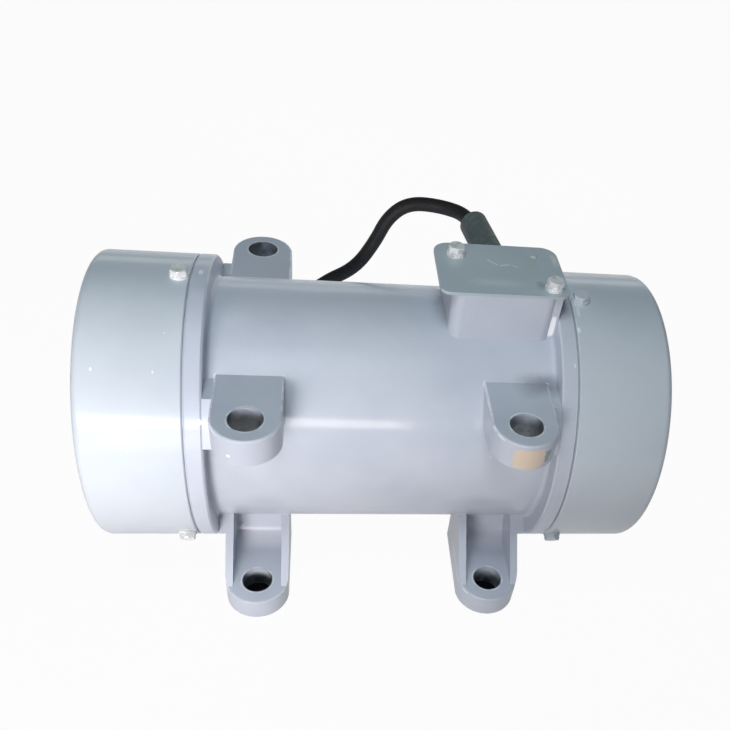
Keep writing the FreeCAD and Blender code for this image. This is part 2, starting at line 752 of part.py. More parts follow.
def pitch_r():
    return (TRACK_IN_R + TRACK_OUT_R) / 2


def roller_r():
    return (TRACK_OUT_R - TRACK_IN_R) / 2 - ROLLER_GAP


def outer_race():
    t0, t1 = track_span()
    body = ring(BEARING_X, bearing_end(), OUTER_LIP_R, BEARING_R)
    return body.cut(axial(t0, t1, TRACK_OUT_R))


def inner_race():
    t0, t1 = track_span()
    body = ring(BEARING_X, bearing_end(), BEARING_BORE_R + PRESS_GAP, INNER_LIP_R)
    return body.cut(ring(BEARING_X, t1, TRACK_IN_R, INNER_LIP_R + 1))


def bearing_rollers():
    t0, t1 = track_span()
    length = t1 - t0 - 2 * ROLLER_GAP
    return Part.makeCompound([rod(V(t0 + ROLLER_GAP, 0, 0) + arm * pitch_r(), ALONG, length,
                                  roller_r()) for arm in spokes(ROLLERS)])


def bearing_cage():
    t0, t1 = track_span()
    middle = (t0 + t1) / 2
    body = ring(middle - CAGE_W / 2, middle + CAGE_W / 2, CAGE_IN_R, CAGE_OUT_R)
    pockets = [rod(V(t0 - POCKET_GAP, 0, 0) + arm * pitch_r(), ALONG, t1 - t0 + 2 * POCKET_GAP,
                   roller_r() + POCKET_GAP) for arm in spokes(ROLLERS)]
    return body.cut(pockets)


# ================================================================ stator and rotor
def slot_block(x0, x1, bottom, top, width, arm_angle):
    slot = block(x0, x1, -width / 2, width / 2, bottom, top)
    slot.rotate(ORIGIN, ALONG, arm_angle)
    return slot


def slot_angles():
    return [360.0 * (i + 0.5) / STATOR_SLOTS for i in range(STATOR_SLOTS)]


def slot_bottom_r():
    return BORE_R - YOKE_T


def stator_core():
    core = ring(-CORE_HALF_L, CORE_HALF_L, STATOR_IN_R, BORE_R - SEAT_GAP)
    cuts = []
    for angle in slot_angles():
        cuts.append(slot_block(-CORE_HALF_L, CORE_HALF_L, SLOT_TOP_R, slot_bottom_r(), SLOT_W, angle))
        cuts.append(slot_block(-CORE_HALF_L, CORE_HALF_L, STATOR_IN_R - 1, SLOT_TOP_R + 0.1,
                               SLOT_MOUTH, angle))
    return core.cut(cuts)


def end_turn_out_r():
    return BORE_R - END_TURN_GAP


def end_turn_x():
    return CORE_HALF_L + END_TURN_L


def end_turns():
    """Rounded bundle of end turns beyond one end of the core."""
    x0 = CORE_HALF_L + END_TURN_STEP
    body = ring(x0, end_turn_x(), SLOT_TOP_R + END_TURN_SET, end_turn_out_r())
    edges = [e for e in body.Edges if e.Curve.TypeId == "Part::GeomCircle"]
    return body.makeFillet(END_TURN_ROUND, edges)


def stator_winding():
    inset = CORE_HALF_L + END_TURN_ROUND
    top = SLOT_TOP_R + SLOT_LINER + END_TURN_ROUND
    bars = [slot_block(-inset, inset, top, slot_bottom_r() - SLOT_LINER, SLOT_W - 2 * SLOT_LINER, angle)
            for angle in slot_angles()]
    return fused([end_turns(), other_end(end_turns())] + bars)


def winding_leads():
    """Three leads, from the end turns through the floor of the box to the nearer studs."""
    leads = []
    over_winding = end_turn_out_r() + LEAD_R + SEAT_GAP
    hole_x = lead_hole_x()
    over_nuts = board_top() + STUD_NUT_H + LEAD_R + SEAT_GAP
    for row, (x, y) in zip((-1, 0, 1), stud_places()):
        own_y = box_middle()[1] + row * LEAD_PITCH
        leads.append(run_and_arc_tube([V(end_turn_x() - LEAD_START_IN, own_y, over_winding),
                                       V(hole_x + LEAD_HOLE_R, own_y, over_winding),
                                       V(hole_x, own_y, BORE_R + LEAD_HOLE_R),
                                       V(hole_x, own_y, over_nuts),
                                       V(x - STUD_R - LEAD_R, y, over_nuts)], LEAD_R)[0])
    return Part.makeCompound(leads)


def rotor_cage_places():
    return [arm * (ROTOR_R - BAR_SINK) for arm in spokes(ROTOR_BARS)]


def rotor_core():
    core = ring(-CORE_HALF_L, CORE_HALF_L, SHAFT_CORE_R + PRESS_GAP, ROTOR_R)
    bars = [rod(V(-CORE_HALF_L, 0, 0) + p, ALONG, 2 * CORE_HALF_L, BAR_R + SEAT_GAP)
            for p in rotor_cage_places()]
    return core.cut(bars)


def rotor_cage():
    outer = ROTOR_R - END_RING_SINK
    rings = [ring(CORE_HALF_L, CORE_HALF_L + END_RING_L, outer - END_RING_T, outer)]
    rings.append(other_end(rings[0]))
    bars = [rod(V(-CORE_HALF_L - 1, 0, 0) + p, ALONG, 2 * CORE_HALF_L + 2, BAR_R)
            for p in rotor_cage_places()]
    return fused(rings + bars)


def key_span():
    return FIXED_X0 + 1, FIXED_X0 + FIXED_T - 1


def moving_span():
    start = FIXED_X0 + FIXED_T + SLIDE_GAP
    return start, start + MOVING_T


def tab_x():
    return moving_span()[1] + SLIDE_GAP


def nut_x():
    return tab_x() + TAB_T


def rotor_shaft():
    half = [(0, SHAFT_CORE_R), (CORE_HALF_L + END_RING_L, SHAFT_CORE_R),
            (CORE_HALF_L + END_RING_L, SHAFT_BODY_R), (BEARING_X, SHAFT_BODY_R),
            (BEARING_X, BEARING_BORE_R), (bearing_end(), BEARING_BORE_R),
            (bearing_end(), SHAFT_WEIGHT_R), (tab_x(), SHAFT_WEIGHT_R), (tab_x(), SHAFT_THREAD_R),
            (SHAFT_END_X - SHAFT_CHAMFER, SHAFT_THREAD_R),
            (SHAFT_END_X, SHAFT_THREAD_R - SHAFT_CHAMFER)]
    outline = [(-SHAFT_END_X, 0)] + [(-x, r) for x, r in reversed(half[1:])]
    outline += half[1:] + [(SHAFT_END_X, 0)]
    shaft = turned(outline)
    x0, x1 = key_span()
    seat = SHAFT_WEIGHT_R - KEY_DEPTH
    keyway = block(x0, x1, -KEY_W / 2, KEY_W / 2, seat, SHAFT_WEIGHT_R + 1)
    return shaft.cut([keyway, other_end(keyway)])


def weight_key():
    x0, x1 = key_span()
    seat = SHAFT_WEIGHT_R - KEY_DEPTH
    return block(x0, x1, -KEY_W / 2 + SEAT_GAP, KEY_W / 2 - SEAT_GAP, seat, seat + KEY_H)


def spacer_sleeve():
    return ring(bearing_end(), FIXED_X0, SHAFT_WEIGHT_R + PRESS_GAP, SPACER_R)


def weight_form(x0, thickness):
    """Hub with a heavy fan that hangs below the shaft."""
    a = math.radians(WEIGHT_HALF_ANGLE)
    left = V(x0, -WEIGHT_R * math.sin(a), -WEIGHT_R * math.cos(a))
    right = V(x0, -left.y, left.z)
    bottom = V(x0, 0, -WEIGHT_R)
    # the fan's upper edges run into the hub as tangents
    reach = math.hypot(left.y, left.z)
    lean = math.acos(WEIGHT_HUB_R / reach)
    turn = math.pi - a - lean
    touch_y = WEIGHT_HUB_R * math.sin(turn)
    touch_z = WEIGHT_HUB_R * math.cos(turn)
    top = V(x0, 0, WEIGHT_HUB_R)
    edges = [Part.Arc(left, bottom, right).toShape(),
             Part.makeLine(right, V(x0, touch_y, touch_z)),
             Part.Arc(V(x0, touch_y, touch_z), top, V(x0, -touch_y, touch_z)).toShape(),
             Part.makeLine(V(x0, -touch_y, touch_z), left)]
    body = Part.Face(Part.Wire(edges)).extrude(V(thickness, 0, 0))
    tips = [e for e in body.Edges if abs(e.BoundBox.XLength - thickness) < 1e-6
            and abs(abs(e.CenterOfMass.y) - abs(left.y)) < 1e-6]
    return body.makeFillet(WEIGHT_ROUND, tips)


def fixed_weight():
    body = weight_form(FIXED_X0, FIXED_T)
    bore = axial(FIXED_X0, FIXED_X0 + FIXED_T, SHAFT_WEIGHT_R + PRESS_GAP)
    x0, x1 = FIXED_X0, FIXED_X0 + FIXED_T
    top = SHAFT_WEIGHT_R - KEY_DEPTH + KEY_H + SEAT_GAP
    keyway = block(x0, x1, -KEY_W / 2, KEY_W / 2, 0, top)
    return body.cut([bore, keyway])


def adjustable_weight():
    x0, x1 = moving_span()
    lugs = block(x0, x1, -SLIT_W / 2 - PINCH_LUG_W, SLIT_W / 2 + PINCH_LUG_W, 0, PINCH_LUG_TOP)
    body = fused([weight_form(x0, MOVING_T), lugs])
    slit = block(x0, x1, -SLIT_W / 2, SLIT_W / 2, 0, PINCH_LUG_TOP + 1)
    bore = axial(x0, x1, SHAFT_WEIGHT_R + SEAT_GAP)
    hole = rod(V((x0 + x1) / 2, -WEIGHT_R, PINCH_Z), V(0, 1, 0), 2 * WEIGHT_R, PINCH_BOLT_R + THREAD_GAP)
    return body.cut([slit, bore, hole])


def pinch_bolt():
    x0, x1 = moving_span()
    half = SLIT_W / 2 + PINCH_LUG_W
    front = V(0, -1, 0)
    seat = V((x0 + x1) / 2, -half, PINCH_Z)
    bolt = hex_bolt(seat, front, PINCH_BOLT_R, PINCH_FLATS, PINCH_HEAD, 2 * half + PINCH_NUT + 2)
    nut = hexagon(PINCH_FLATS, PINCH_NUT, V(seat.x, half, PINCH_Z), V(0, 1, 0))
    return fused([bolt, nut])


def tab_washer():
    return ring(tab_x(), tab_x() + TAB_T, SHAFT_THREAD_R + THREAD_GAP, TAB_R)


def shaft_nut():
    nut = hexagon(NUT_FLATS, NUT_H, V(nut_x(), 0, 0), ALONG)
    return nut.cut(axial(nut_x(), nut_x() + NUT_H, SHAFT_THREAD_R + THREAD_GAP))


# ================================================================ gland and cable
def gland_mouth():
    return gland_base() + gland_axis() * GLAND_L


def gland_sleeve():
    axis = gland_axis()
    tube = rod(gland_base() - axis * 2, axis, GLAND_L + 2, GLAND_R)
    tube = tube.cut(block(0, FACE_X, 0, BOX_Y1, GLAND_Z - 2 * GLAND_R, GLAND_Z + 2 * GLAND_R))
    spigot = rod(gland_base() - axis * BOX_WALL, axis, 2 * BOX_WALL, GLAND_SPIGOT_R)
    body = fused([tube, spigot])
    bore = rod(gland_base() - axis * 2 * BOX_WALL, axis, GLAND_L + 3 * BOX_WALL, CABLE_R + CABLE_GAP)
    seat = rod(gland_mouth() - axis * BUSH_L, axis, BUSH_L + 1, GLAND_BORE_R)
    return body.cut([bore, seat])


def gland_bush():
    axis = gland_axis()
    start = gland_mouth() - axis * (BUSH_L - SEAT_GAP)
    body = rod(start, axis, BUSH_L - SEAT_GAP, GLAND_BORE_R - SEAT_GAP)
    lip = rod(gland_mouth(), axis, BUSH_LIP_T, BUSH_LIP_R)
    return fused([body, lip]).cut(rod(start, axis, 2 * BUSH_L, CABLE_R + CABLE_GAP))


def coil_start():
    """Where the coil's stub takes over from the free cable, one stub before its first turn."""
    z = FLOOR + CABLE_R + COIL_TURNS * 2 * CABLE_R
    return V(COIL_CENTRE_X - COIL_STUB, COIL_CENTRE_Y - COIL_MEAN_R, z)


def cable_route():
    axis = gland_axis()
    first = gland_mouth() - axis * CABLE_INSET
    second = gland_mouth() + axis * CABLE_LEAD_OUT
    return [first, second] + CABLE_WAY + [coil_start()]


def run_and_arc_tube(points, radius):
    """Tube along straight runs joined by arcs as large as the runs allow, with its path and bends."""
    edges = []
    bends = []
    here = points[0]
    for before, corner, after in zip(points, points[1:], points[2:]):
        back = before - corner
        ahead = after - corner
        half_turn = (math.pi - back.getAngle(ahead)) / 2
        trim = 0.45 * min(back.Length, ahead.Length)
        bend = trim / math.tan(half_turn)
        back.normalize()
        ahead.normalize()
        arc_start = corner + back * trim
        arc_end = corner + ahead * trim
        inward = back + ahead
        inward.normalize()
        middle = corner + inward * (math.hypot(trim, bend) - bend)
        edges.append(Part.LineSegment(here, arc_start).toShape())
        edges.append(Part.Arc(arc_start, middle, arc_end).toShape())
        here = arc_end
        bends.append((math.degrees(2 * half_turn), bend))
    edges.append(Part.LineSegment(here, points[-1]).toShape())
    path = Part.Wire(edges)
    section = Part.Wire(Part.makeCircle(radius, points[0], points[1] - points[0]))
    return path.makePipeShell([section], True, False), path, bends


def power_cable():
    tube, path, bends = run_and_arc_tube(cable_route(), CABLE_R)
    ideal = math.pi * CABLE_R ** 2 * path.Length
    listed = ", ".join("%.0f deg r %.0f" % bend for bend in bends)
    print("free cable: length %.0f, volume ratio %.4f" % (path.Length, tube.Volume / ideal))
    print("bends: " + listed)
    wound = COIL_STUB + 2 * math.pi * COIL_MEAN_R * COIL_TURNS + TAIL_L
    print("whole cable: length %.0f" % (path.Length + wound))
    return tube


def tail_start():
    """End of the last turn, on the left of the coil, where the cable heads for the motor again."""
    return V(COIL_CENTRE_X - COIL_MEAN_R, COIL_CENTRE_Y, FLOOR + CABLE_R)


def power_cable_coil():
    """Outer form of the wound cable, with the stub that comes in and the tail that goes out."""
    height = (COIL_TURNS + 1) * 2 * CABLE_R
    centre = V(COIL_CENTRE_X, COIL_CENTRE_Y, FLOOR)
    body = washer(centre, UP, height, COIL_MEAN_R + CABLE_R, COIL_MEAN_R - CABLE_R)
    stub = rod(coil_start(), ALONG, COIL_STUB, CABLE_R)
    tail = rod(tail_start(), V(0, -1, 0), TAIL_L, CABLE_R)
    return fused([body, stub, tail])


def core_ends():
    """Start and direction of each stripped core: the upper two fan out wide and all sink a little."""
    ends = []
    tail_end = tail_start() + V(0, -TAIL_L, 0)
    for side in (-1, 1):
        for level, fan, fall in ((1, 0.26, 0.13), (-1, 0.06, 0.045)):
            direction = V(side * fan, -1, -fall)
            direction.normalize()
            start = tail_end + V(side * CORE_OFFSET, 0, level * CORE_OFFSET)
            ends.append((start + direction * CORE_SHOW, direction))
    return ends


def cable_cores():
    return Part.makeCompound([rod(start, direction, CORE_L, CORE_R) for start, direction in core_ends()])


def cable_core_copper():
    return Part.makeCompound([rod(start + direction * CORE_L, direction, COPPER_L, COPPER_R)
                              for start, direction in core_ends()])


# ================================================================ output
def save(name, shape):
    shape = shape.copy()
    shape.translate(V(0, 0, AXIS_HEIGHT))
    shape.exportStep("parts/%s.step" % name)


def main():
    os.makedirs("parts", exist_ok=True)
    single = [motor_housing, stator_core, stator_winding, terminal_box_lid, lid_gasket, lid_rivet,
              lid_bolts, lid_washers, lid_spring_washers, terminal_board, terminal_studs,
              terminal_screws, winding_leads, rotor_shaft, rotor_core, rotor_cage, gland_sleeve,
              gland_bush, power_cable, power_cable_coil, cable_cores, cable_core_copper]
    for make in single:
        save(make.__name__, make())
    for make in [end_shield, weight_cover, cover_screws, cover_washers]:
        save("right_" + make.__name__, make(RIGHT_SCREW_ANGLE))
        save("left_" + make.__name__, other_end(make(LEFT_SCREW_ANGLE)))
    paired = [shield_bolts, cover_seal, bearing_cap, cap_screws, outer_race, inner_race,
              bearing_rollers, bearing_cage, spacer_sleeve, fixed_weight, weight_key,
              adjustable_weight, pinch_bolt, tab_washer, shaft_nut]
    for make in paired:
        shape = make()
        save("right_" + make.__name__, shape)
        save("left_" + make.__name__, other_end(shape))


main()
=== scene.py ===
import math
import bmesh
import bpy
from mathutils import Matrix, Vector


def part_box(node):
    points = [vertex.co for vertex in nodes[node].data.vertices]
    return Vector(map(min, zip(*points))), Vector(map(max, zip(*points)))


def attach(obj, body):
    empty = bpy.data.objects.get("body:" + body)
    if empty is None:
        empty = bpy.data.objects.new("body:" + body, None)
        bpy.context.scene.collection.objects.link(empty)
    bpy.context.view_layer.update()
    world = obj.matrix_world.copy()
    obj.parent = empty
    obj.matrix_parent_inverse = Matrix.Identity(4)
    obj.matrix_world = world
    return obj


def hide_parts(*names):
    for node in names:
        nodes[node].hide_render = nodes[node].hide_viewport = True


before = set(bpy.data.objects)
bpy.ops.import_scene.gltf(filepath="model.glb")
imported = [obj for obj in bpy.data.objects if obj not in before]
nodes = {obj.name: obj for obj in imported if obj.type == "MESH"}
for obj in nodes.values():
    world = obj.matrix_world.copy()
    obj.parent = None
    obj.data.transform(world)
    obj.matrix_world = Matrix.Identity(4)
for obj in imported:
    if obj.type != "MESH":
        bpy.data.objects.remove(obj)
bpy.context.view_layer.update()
print("frame loaded:", len(nodes), "nodes")

sides = ("right", "left")


# small helpers for node trees
def addNode(tree, kind, settings=None, inputs=None):
    node = tree.nodes.new(kind)
    for key, value in (settings or {}).items():
        setattr(node, key, value)
    for key, value in (inputs or {}).items():
        if isinstance(value, bpy.types.NodeSocket):
            tree.links.new(value, node.inputs[key])
        else:
            node.inputs[key].default_value = value
    return node


def mathNode(tree, operation, first, second=0.0, third=0.0, clamp=False):
    return addNode(tree, "ShaderNodeMath", {"operation": operation, "use_clamp": clamp},
                   {0: first, 1: second, 2: third}).outputs[0]


def mixColor(tree, factor, first, second, blend="MIX"):
    mix = addNode(tree, "ShaderNodeMix", {"data_type": "RGBA", "blend_type": blend})
    for socket, value in ((mix.inputs[0], factor), (mix.inputs[6], first), (mix.inputs[7], second)):
        if isinstance(value, bpy.types.NodeSocket):
            tree.links.new(value, socket)
        else:
            socket.default_value = value
    return mix.outputs[2]


def band(tree, value, low, high):
    return addNode(tree, "ShaderNodeMapRange", {"interpolation_type": "SMOOTHSTEP"},
                   {"Value": value, "From Min": low, "From Max": high}).outputs[0]


def noise(tree, vector, scale, detail=3.0, rough=0.55):
    return addNode(tree, "ShaderNodeTexNoise", None,
                   {"Vector": vector, "Scale": scale, "Detail": detail, "Roughness": rough}).outputs[0]


def newGroup(name, inputs, outputs):
    tree = bpy.data.node_groups.new(name, "ShaderNodeTree")
    kinds = {"float": "NodeSocketFloat", "color": "NodeSocketColor", "vector": "NodeSocketVector"}
    for label, kind, value in inputs:
        socket = tree.interface.new_socket(name=label, in_out="INPUT", socket_type=kinds[kind])
        if value is not None:
            socket.default_value = value
    for label, kind in outputs:
        tree.interface.new_socket(name=label, in_out="OUTPUT", socket_type=kinds[kind])
    return tree, tree.nodes.new("NodeGroupInput").outputs, tree.nodes.new("NodeGroupOutput").inputs


def useGroup(tree, group, inputs):
    return addNode(tree, "ShaderNodeGroup", {"node_tree": group}, inputs).outputs


# effects that several materials share
castLook = {"detail": 2.0, "rough": 0.5, "fineShare": 0.35}


def castSkinGroup():
    tree, given, out = newGroup("castSkin", [("Vector", "vector", None), ("Grain", "float", 900.0),
                                             ("Lumps", "float", 60.0)], [("Height", "float")])
    fine = noise(tree, given["Vector"], given["Grain"], castLook["detail"], castLook["rough"])
    lumps = noise(tree, given["Vector"], given["Lumps"], castLook["detail"], castLook["rough"])
    tree.links.new(mathNode(tree, "ADD", mathNode(tree, "MULTIPLY", fine, castLook["fineShare"]), lumps),
                   out["Height"])
    return tree


toneLook = {"cloudScale": 14.0, "cloudDetail": 4.0, "cloudFrom": 0.40, "cloudTo": 0.70,
            "shade": (0.80, 0.82, 0.86, 1), "speckScale": 85.0, "speckRadius": 0.08,
            "sparseScale": 31.0, "sparseFrom": 0.68, "speckColor": (0.62, 0.64, 0.62, 1)}


def paintToneGroup():
    tree, given, out = newGroup("paintTone", [("Vector", "vector", None), ("Color", "color", None),
                                              ("Mottle", "float", 0.1), ("Specks", "float", 0.5)],
                                [("Color", "color"), ("Specks", "float")])
    cloud = noise(tree, given["Vector"], toneLook["cloudScale"], toneLook["cloudDetail"])
    darker = mixColor(tree, 1.0, given["Color"], toneLook["shade"], "MULTIPLY")
    patchy = mathNode(tree, "MULTIPLY", band(tree, cloud, toneLook["cloudFrom"], toneLook["cloudTo"]),
                      given["Mottle"])
    tone = mixColor(tree, patchy, given["Color"], darker)
    cells = addNode(tree, "ShaderNodeTexVoronoi", None,
                    {"Vector": given["Vector"], "Scale": toneLook["speckScale"], "Randomness": 1.0})
    sparse = mathNode(tree, "GREATER_THAN", noise(tree, given["Vector"], toneLook["sparseScale"], 1.0),
                      toneLook["sparseFrom"])
    spot = mathNode(tree, "LESS_THAN", cells.outputs["Distance"], toneLook["speckRadius"])
    spot = mathNode(tree, "MULTIPLY", mathNode(tree, "MULTIPLY", spot, sparse), given["Specks"])
    tree.links.new(mixColor(tree, spot, tone, toneLook["speckColor"]), out["Color"])
    tree.links.new(spot, out["Specks"])
    return tree


tearScale = 350.0      # of the noise that tears a mark's outline


def paintMarkGroup():
    tree, given, out = newGroup("paintMark", [("Vector", "vector", None), ("Color", "color", None),
                                              ("Place", "vector", None), ("Turn", "vector", None),
                                              ("Size", "vector", None), ("Mark Color", "color", None),
                                              ("Ragged", "float", 0.3), ("Soft", "float", 0.25),
                                              ("Strength", "float", 1.0)],
                                [("Color", "color")])
    local = addNode(tree, "ShaderNodeMapping", {"vector_type": "TEXTURE"},
                    {"Vector": given["Vector"], "Location": given["Place"], "Rotation": given["Turn"],
                     "Scale": given["Size"]}).outputs[0]
    square = addNode(tree, "ShaderNodeVectorMath", {"operation": "MULTIPLY"}, {0: local, 1: local}).outputs[0]
    fourth = addNode(tree, "ShaderNodeVectorMath", {"operation": "DOT_PRODUCT"},
                     {0: square, 1: square}).outputs["Value"]
    away = mathNode(tree, "POWER", fourth, 0.25)      # 1 on the outline of a square with round corners
    torn = mathNode(tree, "SUBTRACT", noise(tree, given["Vector"], tearScale), 0.5)
    away = mathNode(tree, "ADD", away, mathNode(tree, "MULTIPLY", torn, given["Ragged"]))
    inside = mathNode(tree, "SUBTRACT", 1.0,
                      band(tree, away, mathNode(tree, "SUBTRACT", 1.0, given["Soft"]), 1.0))
    tree.links.new(mixColor(tree, mathNode(tree, "MULTIPLY", inside, given["Strength"]), given["Color"],
                            given["Mark Color"]), out["Color"])
    return tree


castSkin = castSkinGroup()
paintTone = paintToneGroup()
paintMark = paintMarkGroup()


# materials
def startMaterial(name, settings):
    material = bpy.data.materials.new(name)
    material.use_nodes = True
    tree = material.node_tree
    shader = tree.nodes["Principled BSDF"]
    for key, value in settings.items():
        shader.inputs[key].default_value = value
    where = addNode(tree, "ShaderNodeTexCoord").outputs["Object"]
    return material, tree, shader, where


def bumpFrom(tree, shader, height, strength, distance):
    bump = addNode(tree, "ShaderNodeBump", None,
                   {"Height": height, "Strength": strength, "Distance": distance})
    tree.links.new(bump.outputs[0], shader.inputs["Normal"])


paint = {
    "housingPaint": {"color": (0.432, 0.476, 0.550, 1), "rough": 0.40, "coat": 0.6, "mottle": 0.5,
                     "specks": 0.5, "grain": 700.0, "lumps": 55.0, "bump": 0.25, "deep": 0.0008},
    "coverPaint": {"color": (0.440, 0.495, 0.552, 1), "rough": 0.38, "coat": 0.7, "mottle": 0.35,
                   "specks": 0.9, "grain": 500.0, "lumps": 30.0, "bump": 0.10, "deep": 0.0006},
    "lidPaint": {"color": (0.356, 0.418, 0.460, 1), "rough": 0.40, "coat": 0.4, "mottle": 0.6,
                 "specks": 0.2, "grain": 400.0, "lumps": 26.0, "bump": 0.12, "deep": 0.0006},
}


# feet and lugs share the axes of their bolt holes; their rims are lighter in patches, as worn paint and
# painted highlight, and the bores are painted dark, for dirt and for shade, but painted lighter on the far
# wall towards the mouth, as light falling in
ears = {"holeX": 0.086, "holeY": 0.097, "boreR": 0.0105, "boreSlack": 0.0004, "rimR": 0.0120,
        "lugR": 0.0217, "footR": 0.0226, "lugTop": 0.175, "footTop": 0.0175, "edge": 0.0016,
        "edgeHigh": 0.75, "edgeWide": 0.6,
        "deep": 0.0090, "middle": 0.086, "between": 0.066, "wallFrom": -0.25, "wallTo": -0.95,
        "mouthShare": 0.3, "farWallPaintedLight": 0.9, "rimLightScale": 180.0, "rimLightFrom": 0.36, "rimLightTo": 0.60,
        "rimLightShare": 0.75, "boreDarkScale": 60.0, "boreDarkFrom": 0.20, "boreDarkTo": 0.62, "boreDarkShare": 0.92,
        "rimColor": (0.66, 0.70, 0.74, 1), "boreColor": (0.035, 0.042, 0.046, 1)}

# what the marks are set from: the shaft's height, the round rims, the terminal box and its lid
rims = {"shaftZ": 0.110, "radius": 0.100}
boxCorner = (0.111, -0.0295, 0.223)
lidLow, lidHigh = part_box("terminal_box_lid")


def onLug(side, right, back, up):
    return (side * ears["holeX"] + right, back - ears["holeY"], ears["lugTop"] + up)


def onRim(along, degrees):      # from the top, towards the front
    turned = math.radians(degrees)
    return (along, -rims["radius"] * math.sin(turned), rims["shaftZ"] + rims["radius"] * math.cos(turned))


def onBox(right, back, up):
    return (boxCorner[0] + right, boxCorner[1] + back, boxCorner[2] + up)


def onLid(right, back):         # from its front left corner
    return (lidLow.x + right, lidLow.y + back, lidHigh.z)


def mark(place, size, color, strength, ragged=0.50, softness=0.25, turn=0.0):      # size is half the mark
    return {"Place": place, "Turn": (0, 0, turn), "Size": size, "Mark Color": (*color, 1),
            "Ragged": ragged, "Soft": softness, "Strength": strength}


def stroke(start, end, color, strength, width=0.0006, height=0.0010):
    run = Vector(end) - Vector(start)
    middle = (Vector(start) + Vector(end)) / 2
    return mark(middle, (run.length / 2, width, height), color, strength, turn=math.atan2(run.y, run.x))


scratch = [onLid(0.0345, 0.0420), onLid(0.0425, 0.0345), onLid(0.0505, 0.0365), onLid(0.0565, 0.0335)]

# chips, rubs, smears and stains; the glints and shades are painted on too, and don't come from the lamps
marks = {
    "housingPaint": {
        "barePatch": mark(onLug(1, 0.0005, -0.0195, -0.0115), (0.0115, 0.0100, 0.0093),
                          (0.60, 0.49, 0.37), 0.90, ragged=0.35),
        "filler": mark(onLug(1, 0.0125, -0.0150, -0.0110), (0.0020, 0.0040, 0.0060),
                       (0.15, 0.17, 0.16), 0.80, ragged=2.60),
        "boxCornerGlint": mark(onBox(-0.0005, 0.0020, -0.0220), (0.0022, 0.0030, 0.0090),
                               (0.90, 0.92, 0.95), 0.85, ragged=0.30, softness=0.30),
        "webShade": mark(onLug(1, 0.0200, 0.0410, 0), (0.0270, 0.0150, 0.0060),
                         (0.17, 0.19, 0.23), 0.80, ragged=0.30, softness=0.95, turn=0.3),
        "leftFlangeChip": mark(onRim(-0.1145, 59), (0.0012, 0.0016, 0.0020), (0.80, 0.82, 0.84), 0.90),
        "rightFlangeChip": mark(onRim(0.1220, 35), (0.0008, 0.0018, 0.0014),
                                (0.75, 0.78, 0.80), 0.50, softness=0.50),
        "leftFlangeRub": mark(onRim(-0.1190, -3), (0.0020, 0.0040, 0.0020),
                              (0.72, 0.76, 0.80), 0.70, softness=0.60),
        "leftLugChip": mark(onLug(-1, -0.0095, -0.0175, -0.0135), (0.0012, 0.0020, 0.0010),
                            (0.85, 0.86, 0.87), 0.90, ragged=0.40),
    },
    "coverPaint": {
        "leftOuterSpeck": mark(onRim(-0.1775, 41.5), (0.0007, 0.0009, 0.0009),
                               (0.85, 0.87, 0.90), 0.80, ragged=0.30),
        "leftInnerSpeck": mark(onRim(-0.1420, 42), (0.0006, 0.0008, 0.0008),
                               (0.75, 0.77, 0.80), 0.60, ragged=0.30),
        # a lighter streak and a lighter spot on the right cover's edge
        "rightEdgeLightStreak": mark(onRim(0.1285, 11.5), (0.0016, 0.0060, 0.0030),
                             (0.66, 0.70, 0.73), 0.60, ragged=0.90, softness=0.80),
        "rightEdgeSpot": mark(onRim(0.1270, 20), (0.0014, 0.0026, 0.0026),
                              (0.80, 0.83, 0.85), 0.65, ragged=0.70, softness=0.60),
    },
    "lidPaint": {
        "scratchBack": stroke(scratch[0], scratch[1], (0.62, 0.68, 0.72), 0.75),
        "scratchMiddle": stroke(scratch[1], scratch[2], (0.62, 0.68, 0.72), 0.75),
        "scratchFront": stroke(scratch[2], scratch[3], (0.60, 0.66, 0.70), 0.60, width=0.0005),
        "greenStain": mark(onLid(0.0655, 0.0355), (0.0070, 0.0190, 0.0030),
                           (0.335, 0.405, 0.370), 0.55, ragged=1.20, softness=0.90, turn=0.15),
        "frontGlint": mark(onLid(0.0375, 0.0135), (0.0240, 0.0055, 0.0020),
                           (0.46, 0.51, 0.54), 0.55, ragged=0.80, softness=0.95),
        "boltShade": mark(onLid(0.0685, 0.0125), (0.0060, 0.0070, 0.0030),
                          (0.13, 0.16, 0.16), 0.50, ragged=0.90, softness=0.90),
        "rightEdgeGlint": mark(onLid(0.0825, 0.0445), (0.0030, 0.0110, 0.0040),
                               (0.60, 0.64, 0.66), 0.55, ragged=0.90, softness=0.90),
    },
}


